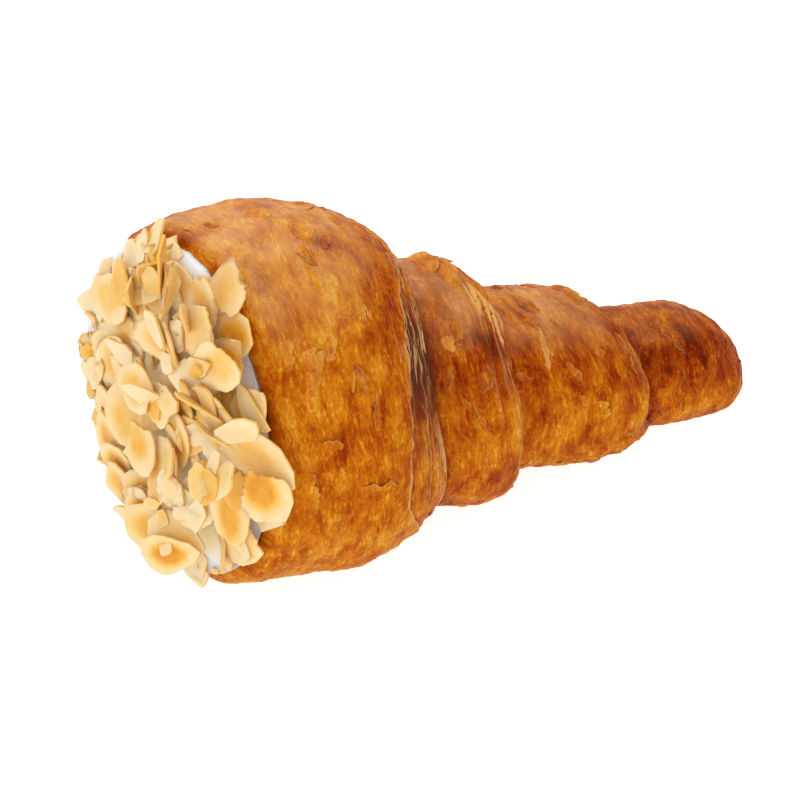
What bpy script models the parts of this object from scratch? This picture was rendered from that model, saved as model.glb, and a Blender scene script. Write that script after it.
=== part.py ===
"""A cream horn lying on its side.

A strip of laminated dough is wound four times round a cone and baked, each turn lapping the next
one towards the tip. Whipped cream fills the cone and domes out of the mouth, and almond flakes
are heaped on the dome like shingles. The tip points to +X and the mouth to -X.
"""

import itertools
import math

import bmesh
import bpy
import numpy as np
from mathutils import Matrix, Vector, noise
from mathutils.bvhtree import BVHTree

MM = 0.001

# The floor point under the middle of the finished pastry, seen from the middle of its mouth. It
# becomes the origin at the end.
BOX_MIDDLE = Vector((57.9, -2.2, 0.0)) * MM

# The wound strip. A place on it is given in turns from its start, under the mouth's far side.
TURNS = 4
STEPS_PER_TURN = 36
START_ANGLE = math.radians(220)

# Every station below is (turns wound, size). A quarter turn in, the strip passes over the top,
# and three quarters in it passes underneath.
MOUTH_RADIUS = 36.0 * MM
HORN_LENGTH = 136.5 * MM
LIP_REACH = [
    (0.0, 0.0),
    (0.25, 46.0 * MM),
    (0.5, 43.0 * MM),
    (0.75, 52.0 * MM),
    (1.25, 62.0 * MM),
    (1.5, 65.0 * MM),
    (1.75, 72.5 * MM),
    (2.25, 92.5 * MM),
    (2.65, 104.0 * MM),
    (2.75, 108.5 * MM),
    (3.0, HORN_LENGTH),
]
SEAM_RADIUS = [
    (0.0, MOUTH_RADIUS),
    (0.25, 26.0 * MM),
    (0.75, 26.0 * MM),
    (1.25, 20.8 * MM),
    (1.75, 20.8 * MM),
    (2.25, 13.8 * MM),
    (4.0, 13.8 * MM),
]
CREST_RADIUS = [
    (0.0, MOUTH_RADIUS),
    (0.25, 40.5 * MM),
    (0.75, 38.8 * MM),
    (1.25, 27.6 * MM),
    (1.75, 27.8 * MM),
    (2.25, 20.8 * MM),
    (2.7, 21.2 * MM),
    (2.9, 17.6 * MM),
    (3.25, 14.2 * MM),
    (4.0, 14.2 * MM),
]
CREST_SHARE = [(0.0, 0.5), (0.75, 0.55), (1.75, 0.55), (2.25, 0.46), (4.0, 0.46)]
RISE_POWER = [(0.75, 2.6), (1.25, 2.0), (4.0, 2.0)]
LIP_OVERHANG = [(0.0, 0.0), (0.25, 1.6 * MM), (2.5, 1.2 * MM), (2.75, 0.0)]
LIP_NOSE = [(0.0, 0.0), (0.25, 2.4 * MM), (2.5, 1.6 * MM), (2.75, 0.0)]
UNDER_LIP_IN = 0.3
UNDER_LIP_UP = 0.4
FALL_POWER = [(0.25, 1.7), (0.75, 1.5), (1.25, 1.65), (1.75, 2.0), (2.65, 2.2), (2.9, 1.3)]
TIP_CREST_AT = 114.0 * MM
TIP_TURN = 3.25
TIP_POWER = 2.3
RISE_STEPS = 4
FALL_STEPS = 6
UNEVEN_SEED = 7
UNEVENNESS = 0.7 * MM
UNEVEN_LENGTH = 19.0 * MM

# How the horn lies: on flats pressed into the undersides of its turns.
CREST_ONE_PLACE = 20.0 * MM
CREST_TIP_PLACE = 121.0 * MM
FLAT_DEPTH = 0.9 * MM
CENTRE_SAG = [
    (0.0, -3.2 * MM),
    (CREST_ONE_PLACE, 0.0),
    (58.0 * MM, -0.9 * MM),
    (90.0 * MM, -0.9 * MM),
    (CREST_TIP_PLACE, 0.5 * MM),
]
MOUTH_TURN = math.radians(10.8)
MOUTH_DROOP = math.radians(3)
MOUTH_TURN_REACH = 45.0 * MM
TIP_SLANT = math.radians(26)
TIP_SLANT_START = 105.0 * MM

# The cone inside, from the mouth to its blind end: (distance in, radius).
WALL_AT_MOUTH = 3.2 * MM
RIM_ROUND = 0.9 * MM
CAVITY = [
    (0.8 * MM, MOUTH_RADIUS - WALL_AT_MOUTH),
    (14.0 * MM, 31.0 * MM),
    (30.0 * MM, 26.0 * MM),
    (46.0 * MM, 21.0 * MM),
    (70.0 * MM, 15.0 * MM),
    (94.0 * MM, 9.0 * MM),
    (108.0 * MM, 6.5 * MM),
    (112.0 * MM, 4.0 * MM),
]
CAVITY_END = 113.0 * MM
FIT_GAP = 0.3 * MM

CREAM_RADIUS = 35.0 * MM
CREAM_DOME = 5.0 * MM
CREAM_EDGE = 1.7 * MM
CREAM_ROUND = 0.5 * MM
CREAM_POWER = 2.6
CREAM_SHARES = [0.97, 0.88, 0.74, 0.58, 0.42, 0.26, 0.12]
CREAM_UNEVENNESS = 0.9 * MM
CREAM_UNEVEN_LENGTH = 14.0 * MM

# Almond slices. Each is laid on those before it.
FLAKE_THICKNESS = 0.9 * MM
FLAKE_SIDES = 10
FLAKE_TAPER = 0.18
FLAKE_INNER_RING = 0.55
SNAP_SLANT = 0.06
SIDE_BOW = 0.5
FLAKE_GAP = 0.35 * MM
HEAP_CELL = 0.5 * MM
HEAP_REACH = 46.0 * MM
HEAP_FLOOR = -30.0 * MM
AIR_FLOOR = -6.0 * MM
SLOPES = np.radians(np.arange(-28, 29, 7))
SHIFTS = np.array([-1.5, 0.0, 1.5]) * MM
TESTED_SHARES = (0.0, 0.2, 0.4, 0.6, 0.8, 1.0, 1.06)
TESTED_SIDES = 30

# Each slice as (right, up, length, width) in millimetres on the mouth's plane, (turn, lift, edge)
# in degrees, the curl of its ends in millimetres, and how much of its far half is left.
FLAKE_WORDS = ("right", "up", "length", "width", "turn", "lift", "edge", "curl", "snap")
FLAKES = [
    (-17, 25, 15, 11, 37, 0, 0, 0.5, 1.0),
    (-4, 29, 15, 11, 15, 0, 0, -0.4, 1.0),
    (-22, -2, 17, 12, 80, 0, 0, -0.6, 1.0),
    (-18, 9, 15, 11, 50, 0, 0, 0.4, 0.7),
    (-15, 2, 16, 11, 59, 0, 0, 0.6, 1.0),
    (-18, -10, 16, 11, 100, 0, 0, 0.4, 1.0),
    (-15, -15, 15, 11, 120, 0, 0, -0.5, 1.0),
    (-9, -17, 15, 11, 67, 0, 0, 0.5, 0.8),
    (-7, -24, 14, 10, -40, 0, 0, -0.6, 1.0),
    (-3, -27, 12, 6, 29, 0, 15, 0.4, 1.0),
    (1, -19, 15, 10, 36, 0, 0, 0.5, 1.0),
    (6, -22, 14, 10, -60, 0, 0, 0.4, 1.0),
    (12, -22, 16, 10, 17, 0, 0, -0.5, 1.0),
    (18, -20, 16, 11, -8, 0, 0, 0.5, 0.8),
    (19, -22, 16, 9, 33, 0, 0, -0.8, 1.0),
    (32, -12, 15, 9, 40, 0, 0, -0.6, 1.0),
    (24, 18, 16, 12, -60, 0, 0, 0.5, 1.0),
    (18, 31, 16, 10, 40, 0, 0, -0.5, 0.6),
    (21, 29, 18, 10, 48, 0, 0, 0.4, 1.0),
    (13, 36, 16, 12, -67, 0, 0, 0.5, 0.6),
    (8, 36, 15, 11, -75, 0, 0, 0.5, 0.8),
    (14, 25, 15, 11, 60, 0, 0, 0.4, 1.0),
    (10, 12, 14, 10, 51, 0, 0, 0.4, 1.0),
    (11, 3, 15, 10, -71, 0, 0, 0.5, 1.0),
    (3, 7, 15, 10, 51, 0, 0, 0.4, 1.0),
    (-4, 5, 15, 11, 15, 0, 0, 0.5, 1.0),
    (-8, -5, 15, 11, 130, 0, 0, 0.5, 1.0),
    (18, -8, 16, 11, 79, 0, 0, 0.5, 1.0),
    (-8, 20, 17, 11, -73, 0, 0, 0.6, 1.0),
    (15, 33, 18, 11, 35, 0, 0, 0.5, 1.0),
    (25, 32, 19, 11, 47, 0, 0, 0.4, 0.6),
    (-3, 32, 14, 6, -78, 0, 40, 0.8, 1.0),
    (3, 35, 16, 7, -78, 0, 35, 0.8, 1.0),
    (4, 20, 18, 12, 20, 0, 0, 2.2, 1.0),
    (20, 16, 19, 12, -78, 0, 0, 0.6, 1.0),
    (32, 14, 18, 14, -16, 0, 0, 0.5, 1.0),
    (28, -6, 18, 11, -63, 0, 0, 0.6, 1.0),
    (38, 6, 17, 13, -65, 0, -12, 0.6, 0.7),
    (7, -9, 16, 13, -85, 0, 0, 0.6, 1.0),
    (30, 10, 19, 8, 45, 0, -25, 1.6, 1.0),
    (-21, 14, 15, 11, 16, 0, 0, 0.8, 1.0),
    (0, -4, 15, 10, -20, 0, 0, 0.5, 1.0),
]

WELD = 0.002 * MM


def eased(stations, place):
    """The value between two stations, level at each of them."""
    for (start, low), (end, high) in zip(stations, stations[1:]):
        if place <= end:
            part = max(0.0, (place - start) / (end - start))
            return low + (high - low) * part * part * (3 - 2 * part)
    return stations[-1][1]


TILT = math.atan2(
    eased(CREST_RADIUS, 0.5) - eased(CREST_RADIUS, 3.5), CREST_TIP_PLACE - CREST_ONE_PLACE
)
ALONG = Vector((math.cos(TILT), 0, -math.sin(TILT)))
UPWARD = Vector((math.sin(TILT), 0, math.cos(TILT)))
SIDEWAYS = Vector((0, -1, 0))
AXIS_HEIGHT = (
    CREST_ONE_PLACE * math.sin(TILT) + eased(CREST_RADIUS, 0.5) * math.cos(TILT) - FLAT_DEPTH
)


def in_horn(distance, radius, angle):
    """The point this far from the mouth and from the horn's line, turned from the top."""
    mouth_share = min(max(1 - distance / MOUTH_TURN_REACH, 0), 1)
    tip_share = max(distance - TIP_SLANT_START, 0) / (HORN_LENGTH - TIP_SLANT_START)
    lean = math.sin(angle) * math.tan(MOUTH_TURN) * mouth_share
    lean -= math.cos(angle) * math.tan(MOUTH_DROOP) * mouth_share
    lean -= math.cos(angle) * math.tan(TIP_SLANT) * tip_share
    outward = UPWARD * math.cos(angle) + SIDEWAYS * math.sin(angle)
    centre = Vector((0, 0, AXIS_HEIGHT + eased(CENTRE_SAG, distance)))
    return centre + ALONG * (distance + lean * radius) + outward * radius


def roughened(point, size, length):
    """The point moved a little, up or down and sideways, the way hand-made food is uneven."""
    shift = noise.noise_vector(point / length, noise_basis="PERLIN_ORIGINAL")
    return point + shift * size


def arc(part, power):
    """The height of a rounded shoulder this far along it: full at 0, none at 1."""
    return max(1 - part**power, 0) ** (1 / power)


def tip_radius(distance):
    """The radius of the rounded end of the horn."""
    part = (distance - TIP_CREST_AT) / (HORN_LENGTH - TIP_CREST_AT)
    return eased(CREST_RADIUS, TURNS) * arc(max(part, 0), TIP_POWER)


def seam_place(turn):
    """Where a turn's outer edge meets the next turn, as (distance, radius)."""
    if turn < 0:
        return 0.0, MOUTH_RADIUS
    distance = eased(LIP_REACH, turn) - eased(LIP_OVERHANG, turn)
    radius = eased(SEAM_RADIUS, turn)
    if distance > TIP_CREST_AT:
        radius = min(radius, tip_radius(distance))
    return distance, radius


def across_strip(turn):
    """The strip's section here, from the edge that the last turn covers to its own lip."""
    foot_at, foot_radius = seam_place(turn - 1)
    seam_at, seam_radius = seam_place(turn)
    lip_at = eased(LIP_REACH, turn)
    lip_radius = seam_radius + eased(LIP_NOSE, turn)
    crest_at = foot_at + (lip_at - foot_at) * eased(CREST_SHARE, turn)
    crest_radius = eased(CREST_RADIUS, turn)
    if turn > TIP_TURN:
        crest_at = max(TIP_CREST_AT, foot_at)
        crest_radius = tip_radius(crest_at)
    section = []
    for step in range(RISE_STEPS):
        part = 1 - math.cos(step / RISE_STEPS * math.pi / 2)
        rise = arc(1 - part, eased(RISE_POWER, turn))
        radius = foot_radius + (crest_radius - foot_radius) * rise
        section.append((foot_at + (crest_at - foot_at) * part, radius))
    for step in range(FALL_STEPS + 1):
        part = math.sin(step / FALL_STEPS * math.pi / 2)
        distance = crest_at + (lip_at - crest_at) * part
        fall = arc(part, eased(FALL_POWER, turn))
        radius = lip_radius + (crest_radius - lip_radius) * fall
        if turn > TIP_TURN:
            radius = tip_radius(distance)
        section.append((distance, radius))
    overhang = lip_at - seam_at
    under_lip = seam_radius + UNDER_LIP_UP * (lip_radius - seam_radius)
    section.append((lip_at - UNDER_LIP_IN * overhang, under_lip))
    section.append((seam_at, seam_radius))
    return section


def new_object(name, mesh_maker, material):
    """An object from a function that fills a bmesh. Its coinciding points are joined."""
    mesh = bpy.data.meshes.new(name)
    shape = bmesh.new()
    mesh_maker(shape)
    bmesh.ops.remove_doubles(shape, verts=shape.verts, dist=WELD)
    bmesh.ops.dissolve_degenerate(shape, edges=shape.edges, dist=WELD)
    bmesh.ops.recalc_face_normals(shape, faces=shape.faces)
    shape.to_mesh(mesh)
    shape.free()
    mesh.shade_smooth()
    mesh.set_sharp_from_angle(angle=math.radians(50))
    mesh.materials.append(material)
    made = bpy.data.objects.new(name, mesh)
    bpy.context.scene.collection.objects.link(made)
    return made


def around(turn):
    """The angle from the top at this many turns."""
    return START_ANGLE + turn * math.tau


def bridge_rings(shape, lower, upper):
    """Quads between two closed rings of as many points."""
    for step, point in enumerate(lower):
        following = (step + 1) % len(lower)
        shape.faces.new((point, lower[following], upper[following], upper[step]))


def fan(shape, ring, centre):
    """Triangles that close a ring onto one point."""
    for step, point in enumerate(ring):
        shape.faces.new((point, ring[(step + 1) % len(ring)], centre))


def horn_ring(shape, distance, radius):
    """A ring of points round the horn's line, in step with the strip's start."""
    turns = [step / STEPS_PER_TURN for step in range(STEPS_PER_TURN)]
    return [shape.verts.new(in_horn(distance, radius, around(turn))) for turn in turns]


def fill_pastry(shape):
    """The wound strip, its rim, and the blind cone inside it."""
    rows = []
    for step in range(TURNS * STEPS_PER_TURN + 1):
        turn = step / STEPS_PER_TURN
        points = [in_horn(*place, around(turn)) for place in across_strip(turn)]
        rows.append([shape.verts.new(roughened(p, UNEVENNESS, UNEVEN_LENGTH)) for p in points])
    for row, following in zip(rows, rows[1:]):
        for across in range(len(row) - 1):
            corners = (row[across], following[across], following[across + 1], row[across + 1])
            shape.faces.new(corners)
    rim_start = [row[0] for row in rows[:STEPS_PER_TURN]]
    rings = [rim_start, horn_ring(shape, -RIM_ROUND, MOUTH_RADIUS - WALL_AT_MOUTH / 2)]
    rings += [horn_ring(shape, *station) for station in CAVITY]
    for lower, upper in zip(rings, rings[1:]):
        bridge_rings(shape, lower, upper)
    fan(shape, rings[-1], shape.verts.new(in_horn(CAVITY_END, 0, 0)))


def press_flats(made):
    """Cuts away what lies under the floor, which leaves a flat on each turn that touches it."""
    shape = bmesh.new()
    shape.from_mesh(made.data)
    everything = shape.verts[:] + shape.edges[:] + shape.faces[:]
    bmesh.ops.bisect_plane(
        shape, geom=everything, plane_co=(0, 0, 0), plane_no=(0, 0, -1), clear_outer=True, dist=WELD
    )
    open_edges = [edge for edge in shape.edges if edge.is_boundary]
    bmesh.ops.dissolve_degenerate(shape, edges=open_edges, dist=0.1 * MM)
    open_edges = [edge for edge in shape.edges if edge.is_boundary]
    bmesh.ops.holes_fill(shape, edges=open_edges, sides=0)
    bmesh.ops.recalc_face_normals(shape, faces=shape.faces)
    shape.to_mesh(made.data)
    shape.free()


def cream_top(share):
    """How far the cream stands out of the mouth, at this share of its radius."""
    return CREAM_EDGE + (CREAM_DOME - CREAM_EDGE) * (1 - share**CREAM_POWER)


def fill_cream(shape):
    """The cream from the blind end of the cone out over the rim, domed at the mouth."""
    rings = []
    for distance, radius in reversed(CAVITY):
        rings.append(horn_ring(shape, distance - FIT_GAP, radius - FIT_GAP))
    first = shape.verts.new(in_horn(CAVITY_END - 2 * FIT_GAP, 0, 0))
    under_rim = RIM_ROUND + FIT_GAP
    rings.append(horn_ring(shape, -under_rim, MOUTH_RADIUS - WALL_AT_MOUTH + CREAM_ROUND))
    rings.append(horn_ring(shape, -under_rim, CREAM_RADIUS - CREAM_ROUND))
    rings.append(horn_ring(shape, -(under_rim + CREAM_EDGE) / 2, CREAM_RADIUS))
    for share in CREAM_SHARES:
        ring = horn_ring(shape, -cream_top(share), CREAM_RADIUS * share)
        for point in ring:
            point.co = roughened(point.co, CREAM_UNEVENNESS, CREAM_UNEVEN_LENGTH)
        rings.append(ring)
    last = shape.verts.new(in_horn(-CREAM_DOME, 0, 0))
    for lower, upper in zip(rings, rings[1:]):
        bridge_rings(shape, lower, upper)
    fan(shape, rings[0], first)
    fan(shape, rings[-1], last)


def outline(flake, angle, share):
    """A point of the almond slice: an oval that narrows to one end and may be snapped off short."""
    along = math.cos(angle) * flake["length"] / 2
    taper = 1 - FLAKE_TAPER * math.cos(angle)
    beside = math.sin(angle) * flake["width"] / 2 * taper
    snapped = flake["snap"] * flake["length"] / 2
    along = min(along, snapped + SNAP_SLANT * beside)
    return along * share, beside * share


def bowed(flake, along, beside):
    """How far the slice curls up here from its flat middle."""
    ends = (2 * along / flake["length"]) ** 2
    flanks = (2 * beside / flake["width"]) ** 2
    return flake["curl"] * (ends - SIDE_BOW * flanks)


def fill_flake(shape, flake):
    """The slice lying flat: a middle point, an inner ring and an outer ring on each face."""
    sides = []
    for lift in (-FLAKE_THICKNESS / 2, FLAKE_THICKNESS / 2):
        rings = []
        for share in (1.0, FLAKE_INNER_RING):
            ring = []
            for step in range(FLAKE_SIDES):
                x, y = outline(flake, step / FLAKE_SIDES * math.tau, share)
                ring.append(shape.verts.new((x, y, bowed(flake, x, y) + lift)))
            rings.append(ring)
        bridge_rings(shape, *rings)
        fan(shape, rings[1], shape.verts.new((0, 0, lift)))
        sides.append(rings[0])
    bridge_rings(shape, *sides)


class Heap:
    """The top of what lies on the mouth so far, as heights over a grid on the mouth's plane."""

    def __init__(self, objects):
        count = 2 * round(HEAP_REACH / HEAP_CELL) + 1
        self.heights = np.full((count, count), HEAP_FLOOR)
        for made in objects:
            self.add(made)

    def cells(self, right, up):
        """The grid rows and columns under places on the mouth's plane."""
        last = len(self.heights) - 1
        column = np.clip(np.rint((right + HEAP_REACH) / HEAP_CELL), 0, last).astype(int)
        row = np.clip(np.rint((up + HEAP_REACH) / HEAP_CELL), 0, last).astype(int)
        return row, column

    def add(self, made):
        """Raises the heights to the top of one more object."""
        to_face = FACE.inverted() @ made.matrix_world
        points = [to_face @ vertex.co for vertex in made.data.vertices]
        tree = BVHTree.FromPolygons(points, [face.vertices for face in made.data.polygons])
        row, column = self.cells(np.array([p.x for p in points]), np.array([p.y for p in points]))
        for r in range(row.min(), row.max() + 1):
            for c in range(column.min(), column.max() + 1):
                above = Vector((c * HEAP_CELL - HEAP_REACH, r * HEAP_CELL - HEAP_REACH, HEAP_REACH))
                hit = tree.ray_cast(above, Vector((0, 0, -1)))[0]
                if hit:
                    self.heights[r, c] = max(self.heights[r, c], hit.z)
        self.safe = self.heights.copy()
        for axis in (0, 1):
            for way in (-1, 1):
                self.safe = np.maximum(self.safe, np.roll(self.safe, way, axis))

    def rest_on(self, points, spot):
        """How high the points must stand to clear the heap, and how much air is then under them."""
        under = self.safe[self.cells(points[:, 0] + spot[0], points[:, 1] + spot[1])]
        height = (under - points[:, 2]).max() + FLAKE_GAP
        air = (height + points[:, 2] - np.maximum(under, AIR_FLOOR)).mean()
        return height, air


def settle(flake, heap):
    """The slice's place: laid on the heap at the slope that leaves the least air under it."""
    points = []
    for share in TESTED_SHARES:
        for step in range(TESTED_SIDES):
            x, y = outline(flake, step / TESTED_SIDES * math.tau, share)
            points.append((x, y, bowed(flake, x, y) - FLAKE_THICKNESS / 2))
    points = np.array(points)
    choices = []
    for pitch, roll in itertools.product(SLOPES, SLOPES):
        turned = slope_matrix(flake["turn"], pitch, roll)
        laid = points @ np.array(turned).T
        for right, up in itertools.product(SHIFTS, SHIFTS):
            spot = (flake["right"] + right, flake["up"] + up)
            height, air = heap.rest_on(laid, spot)
            top = height + laid[:, 2].max()
            choices.append((air + top, spot, pitch, roll))
    score, spot, pitch, roll = min(choices)
    turned = slope_matrix(flake["turn"], pitch + flake["lift"], roll + flake["edge"])
    height, air = heap.rest_on(points @ np.array(turned).T, spot)
    place = Matrix.Translation((*spot, height))
    return FACE @ place @ turned.to_4x4()


def slope_matrix(turn, pitch, roll):
    """Turned in the mouth's plane, then its tip raised and its side raised."""
    spin = Matrix.Rotation(turn, 3, "Z")
    return spin @ Matrix.Rotation(-pitch, 3, "Y") @ Matrix.Rotation(roll, 3, "X")


def mouth_frame():
    """The mouth's plane: X to its right as seen from outside, Y up, Z out of the horn."""
    out = (SIDEWAYS * math.tan(MOUTH_TURN) - UPWARD * math.tan(MOUTH_DROOP) - ALONG).normalized()
    right = UPWARD.cross(out).normalized()
    frame = Matrix((right, out.cross(right), out)).transposed().to_4x4()
    frame.translation = in_horn(0, 0, 0)
    return frame


FACE = mouth_frame()


def surface(name, color, roughness, subsurface=0.0):
    """A plain material."""
    material = bpy.data.materials.new(name)
    material.use_nodes = True
    shader = material.node_tree.nodes["Principled BSDF"]
    shader.inputs["Base Color"].default_value = (*color, 1)
    shader.inputs["Roughness"].default_value = roughness
    shader.inputs["Metallic"].default_value = 0.0
    shader.inputs["Subsurface Weight"].default_value = subsurface
    material.diffuse_color = (*color, 1)
    return material


def main():
    for leftover in list(bpy.data.objects):
        bpy.data.objects.remove(leftover)
    noise.seed_set(UNEVEN_SEED)
    crust = surface("baked_crust", (0.62, 0.28, 0.06), 0.45)
    whipped = surface("whipped_cream", (0.93, 0.88, 0.78), 0.5, 0.2)
    almond = surface("sliced_almond", (0.86, 0.66, 0.33), 0.5, 0.1)
    pastry = new_object("pastry", fill_pastry, crust)
    press_flats(pastry)
    cream = new_object("cream", fill_cream, whipped)
    heap = Heap([pastry, cream])
    for number, numbers in enumerate(FLAKES, start=1):
        flake = dict(zip(FLAKE_WORDS, numbers))
        for word in ("right", "up", "length", "width", "curl"):
            flake[word] *= MM
        for word in ("turn", "lift", "edge"):
            flake[word] = math.radians(flake[word])
        made = new_object(f"almond_flake_{number:02d}", lambda shape: fill_flake(shape, flake), almond)
        made.matrix_world = settle(flake, heap)
        heap.add(made)
    for made in bpy.data.objects:
        made.matrix_world = Matrix.Translation(-BOX_MIDDLE) @ made.matrix_world


main()
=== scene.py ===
"""The look of a cream horn: flaky wound crust, whipped cream and sliced almonds.

The horn's shape follows the same named sizes as its solids. The strip of dough starts as a flat
grid, which is wound round the horn and given its layers, blisters and browning.
"""

import math
import random

import bmesh
import bpy
import numpy as np
from mathutils import Matrix, Vector, noise
from mathutils.bvhtree import BVHTree


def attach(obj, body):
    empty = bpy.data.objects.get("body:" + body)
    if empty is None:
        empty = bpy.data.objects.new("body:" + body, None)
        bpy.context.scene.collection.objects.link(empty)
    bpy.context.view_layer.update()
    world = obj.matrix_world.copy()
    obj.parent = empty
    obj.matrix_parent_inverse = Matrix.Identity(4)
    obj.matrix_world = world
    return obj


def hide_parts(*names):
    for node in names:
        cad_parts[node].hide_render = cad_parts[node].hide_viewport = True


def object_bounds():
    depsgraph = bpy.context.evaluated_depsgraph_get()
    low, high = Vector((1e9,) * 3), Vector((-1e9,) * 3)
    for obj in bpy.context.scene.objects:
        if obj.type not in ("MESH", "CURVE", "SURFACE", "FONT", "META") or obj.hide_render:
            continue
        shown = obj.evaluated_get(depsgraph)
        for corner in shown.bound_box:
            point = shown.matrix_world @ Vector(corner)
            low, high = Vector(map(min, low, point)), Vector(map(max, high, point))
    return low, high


MM = 0.001

# The wound strip, as in the solids. Stations are (turns wound, size).
BOX_MIDDLE = Vector((57.9, -2.2, 0.0)) * MM
TURNS = 4
START_ANGLE = math.radians(220)
MOUTH_RADIUS = 36.0 * MM
HORN_LENGTH = 136.5 * MM
LIP_REACH = [
    (0.0, 0.0),
    (0.25, 46.0 * MM),
    (0.5, 43.0 * MM),
    (0.75, 52.0 * MM),
    (1.25, 62.0 * MM),
    (1.5, 65.0 * MM),
    (1.75, 72.5 * MM),
    (2.25, 92.5 * MM),
    (2.65, 104.0 * MM),
    (2.75, 108.5 * MM),
    (3.0, HORN_LENGTH),
]
SEAM_RADIUS = [
    (0.0, MOUTH_RADIUS),
    (0.25, 26.0 * MM),
    (0.75, 26.0 * MM),
    (1.25, 20.8 * MM),
    (1.75, 20.8 * MM),
    (2.25, 13.8 * MM),
    (4.0, 13.8 * MM),
]
CREST_RADIUS = [
    (0.0, MOUTH_RADIUS),
    (0.25, 40.5 * MM),
    (0.75, 38.8 * MM),
    (1.25, 27.6 * MM),
    (1.75, 27.8 * MM),
    (2.25, 20.8 * MM),
    (2.7, 21.2 * MM),
    (2.9, 17.6 * MM),
    (3.25, 14.2 * MM),
    (4.0, 14.2 * MM),
]
CREST_SHARE = [(0.0, 0.5), (0.75, 0.55), (1.75, 0.55), (2.25, 0.46), (4.0, 0.46)]
RISE_POWER = [(0.75, 2.6), (1.25, 2.0), (4.0, 2.0)]
LIP_OVERHANG = [(0.0, 0.0), (0.25, 1.6 * MM), (2.5, 1.2 * MM), (2.75, 0.0)]
LIP_NOSE = [(0.0, 0.0), (0.25, 2.4 * MM), (2.5, 1.6 * MM), (2.75, 0.0)]
FALL_POWER = [(0.25, 1.7), (0.75, 1.5), (1.25, 1.65), (1.75, 2.0), (2.65, 2.2), (2.9, 1.3)]
TIP_CREST_AT = 114.0 * MM
TIP_TURN = 3.25
TIP_POWER = 2.3
UNEVEN_SEED = 7
UNEVENNESS = 0.7 * MM
UNEVEN_LENGTH = 19.0 * MM
CREST_ONE_PLACE = 20.0 * MM
CREST_TIP_PLACE = 121.0 * MM
FLAT_DEPTH = 0.9 * MM
CENTRE_SAG = [
    (0.0, -3.2 * MM),
    (CREST_ONE_PLACE, 0.0),
    (58.0 * MM, -0.9 * MM),
    (90.0 * MM, -0.9 * MM),
    (CREST_TIP_PLACE, 0.5 * MM),
]
MOUTH_TURN = math.radians(10.8)
MOUTH_DROOP = math.radians(3)
MOUTH_TURN_REACH = 45.0 * MM
TIP_SLANT = math.radians(26)
TIP_SLANT_START = 105.0 * MM
WALL_AT_MOUTH = 3.2 * MM
RIM_ROUND = 0.9 * MM
CAVITY = [
    (0.8 * MM, MOUTH_RADIUS - WALL_AT_MOUTH),
    (14.0 * MM, 31.0 * MM),
    (30.0 * MM, 26.0 * MM),
    (46.0 * MM, 21.0 * MM),
    (70.0 * MM, 15.0 * MM),
    (94.0 * MM, 9.0 * MM),
    (108.0 * MM, 6.5 * MM),
    (112.0 * MM, 4.0 * MM),
]

# How finely the strip is divided: rows to a turn, and columns on its body, its lip and its nose.
ROWS_PER_TURN = 280
BODY_COLUMNS = 44
LIP_COLUMNS = 34
NOSE_COLUMNS = 4
LIP_ZONE = 13.0 * MM
SKIN_INSET = 0.35 * MM
BOX_MARGIN = 0.6 * MM
MERGE_REACH = 0.004 * MM
THREAD_SPACING = 1.3 * MM
THREAD_DEPTH = 0.13 * MM

# Edges of the dough's layers near a lip: (distance from the lip, how far it wanders, height).
LAYER_EDGES = [
    (0.9 * MM, 0.4 * MM, 0.20 * MM),
    (2.0 * MM, 0.7 * MM, 0.24 * MM),
    (3.4 * MM, 0.9 * MM, 0.26 * MM),
    (5.2 * MM, 1.3 * MM, 0.26 * MM),
    (7.8 * MM, 1.8 * MM, 0.24 * MM),
]

# The first turn's top layer stops short of its lip: (turn, how far short).
SHORT_LAYER = [
    (0.34, 0.0),
    (0.41, 7.0 * MM),
    (0.46, 11.0 * MM),
    (0.52, 12.8 * MM),
    (0.56, 14.2 * MM),
    (0.60, 15.8 * MM),
    (0.65, 16.5 * MM),
    (0.72, 9.0 * MM),
    (0.78, 0.0),
]
SHORT_LAYER_STEP = 0.7 * MM
# The dark band at the front, under the torn layer and at the second turn's foot: browner dough and
# painted shade.
DARK_BAND_TURN = 0.515
DARK_BAND_REACH = 0.065
DARK_BAND_FOOT = 4.0 * MM

# How brown each turn is baked: (turn, brownness from 0 to 1).
BAKE = [(0.0, 0.47), (1.0, 0.48), (1.35, 0.58), (2.2, 0.57), (3.0, 0.58), (3.3, 0.68), (4.0, 0.68)]

# Browner and paler places on the crust: (turn, share across the strip, reach in turns, reach
# across, how much browner).
BROWNED = [
    (0.47, 0.70, 0.05, 0.10, 0.20),
    (0.399, 0.425, 0.012, 0.035, 0.55),
    (0.39, 0.70, 0.06, 0.10, 0.10),
    (0.57, 0.36, 0.03, 0.16, 0.18),
    (0.60, 0.62, 0.06, 0.30, 0.06),
    (0.36, 0.35, 0.07, 0.25, -0.05),
    (0.49, 0.28, 0.05, 0.16, -0.08),
    (0.67, 0.30, 0.04, 0.40, -0.06),
    (1.40, 0.35, 0.04, 0.20, 0.06),
    (1.50, 0.62, 0.05, 0.20, 0.16),
    (1.53, 0.38, 0.06, 0.25, 0.12),
    (1.62, 0.50, 0.05, 0.50, -0.16),
    (2.38, 0.30, 0.05, 0.25, -0.05),
    (2.53, 0.12, 0.06, 0.12, 0.20),
    (2.53, 0.80, 0.06, 0.10, 0.14),
    (2.56, 0.42, 0.04, 0.20, 0.08),
    (2.64, 0.50, 0.05, 0.60, -0.12),
    (3.50, 0.45, 0.10, 0.50, 0.20),
    (3.58, 0.30, 0.03, 0.14, 0.12),
    (3.68, 0.50, 0.06, 0.60, -0.22),
    (3.42, 0.60, 0.05, 0.60, -0.08),
]

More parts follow.
